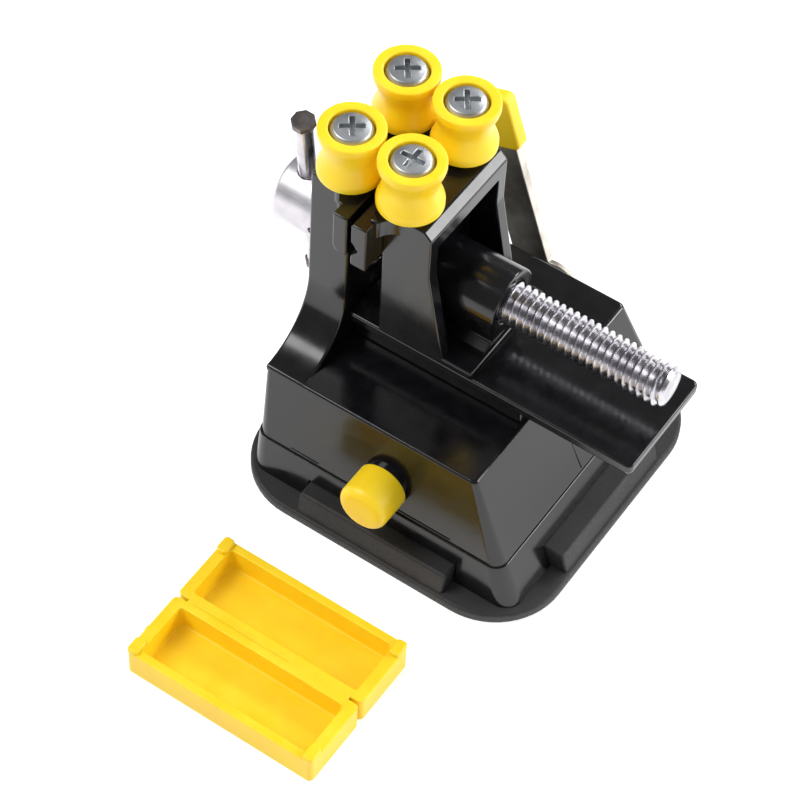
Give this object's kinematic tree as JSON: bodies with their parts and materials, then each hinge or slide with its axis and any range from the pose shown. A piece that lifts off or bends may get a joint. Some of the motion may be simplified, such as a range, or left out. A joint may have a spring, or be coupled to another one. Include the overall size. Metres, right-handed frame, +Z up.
{
  "type": "circuit board vise",
  "caption": "Small bench vise for circuit boards: suction base, fixed and sliding jaw with grooved rollers, lead screw with sliding bar, suction lever and soft jaw covers.",
  "frame": {"origin": "middle of the underside of the suction pad", "axes": "+X along the lead screw towards its free tip, +Y towards the suction lever, +Z up"},
  "size_m": [0.0786, 0.1086, 0.078],
  "materials": {
    "black_plastic": "glossy moulded",
    "pad_rubber": "matte",
    "yellow_plastic": "satin moulded",
    "zinc_steel": "zinc plated",
    "chrome_steel": "bright plated",
    "dark_steel": "black oxide",
    "nut_brass": "turned"
  },
  "bodies": {
    "base": {"base_housing": "black_plastic", "guide_rail": "black_plastic", "rail_screws": "zinc_steel", "suction_pad": "pad_rubber", "roller_screw_fixed_front": "chrome_steel", "roller_screw_fixed_rear": "chrome_steel", "fixed_roller_washers": "zinc_steel"},
    "screw": {"lead_screw": "zinc_steel", "screw_hub": "chrome_steel", "hub_pin": "zinc_steel", "thrust_washer": "zinc_steel", "retaining_clip": "zinc_steel"},
    "bar": {"tommy_bar": "chrome_steel", "tommy_bar_heads": "dark_steel"},
    "jaw": {"moving_jaw": "black_plastic", "jaw_nut": "nut_brass", "roller_screw_moving_front": "chrome_steel", "roller_screw_moving_rear": "chrome_steel", "moving_roller_washers": "zinc_steel"},
    "roller_a": {"roller_fixed_front": "yellow_plastic"},
    "roller_b": {"roller_fixed_rear": "yellow_plastic"},
    "roller_c": {"roller_moving_front": "yellow_plastic"},
    "roller_d": {"roller_moving_rear": "yellow_plastic"},
    "lever": {"cam_axle": "zinc_steel", "lift_cam": "black_plastic", "axle_cap": "yellow_plastic", "lever_washer": "zinc_steel", "lever_arm": "zinc_steel", "lever_grip": "yellow_plastic"},
    "plunger": {"suction_plunger": "black_plastic"},
    "covers": {"soft_jaw_cover_front": "yellow_plastic", "soft_jaw_cover_back": "yellow_plastic"}
  },
  "joints": [
    {"name": "screw_turn", "type": "hinge", "parent": "base", "child": "screw", "pos_m": [0, 0, 0.0447], "axis": [-1, 0, 0], "range_deg": [0, 6480]},
    {"name": "jaw_slide", "type": "slide", "parent": "base", "child": "jaw", "axis": [1, 0, 0], "range_m": [0, 0.0254]},
    {"name": "tommy_slide", "type": "slide", "parent": "screw", "child": "bar", "axis": [0, -0.1219, 0.9925], "range_m": [-0.0126, 0.0126]},
    {"name": "roller_spin_fixed_front", "type": "hinge", "parent": "base", "child": "roller_a", "pos_m": [-0.02235, -0.0081, 0.0722], "axis": [0, 0, 1], "continuous": true},
    {"name": "roller_spin_fixed_rear", "type": "hinge", "parent": "base", "child": "roller_b", "pos_m": [-0.02235, 0.0081, 0.0722], "axis": [0, 0, 1], "continuous": true},
    {"name": "roller_spin_moving_front", "type": "hinge", "parent": "jaw", "child": "roller_c", "pos_m": [-0.01035, -0.0081, 0.0722], "axis": [0, 0, 1], "continuous": true},
    {"name": "roller_spin_moving_rear", "type": "hinge", "parent": "jaw", "child": "roller_d", "pos_m": [-0.01035, 0.0081, 0.0722], "axis": [0, 0, 1], "continuous": true},
    {"name": "lever_turn", "type": "hinge", "parent": "base", "child": "lever", "pos_m": [-0.0008, 0, 0.0162], "axis": [0, 1, 0], "range_deg": [0, 109]},
    {"name": "plunger_lift", "type": "slide", "parent": "base", "child": "plunger", "axis": [0, 0, 1], "range_m": [0, 0.002]},
    {"name": "covers_lift", "type": "slide", "parent": "base", "child": "covers", "axis": [0, 0, 1], "range_m": [0, 0.03]}
  ],
  "couplings": [
    {"joint": "jaw_slide", "follows": "screw_turn", "m_per_rad": 0.00022441},
    {"joint": "plunger_lift", "follows": "lever_turn", "m_per_rad": 0.0010513}
  ]
}
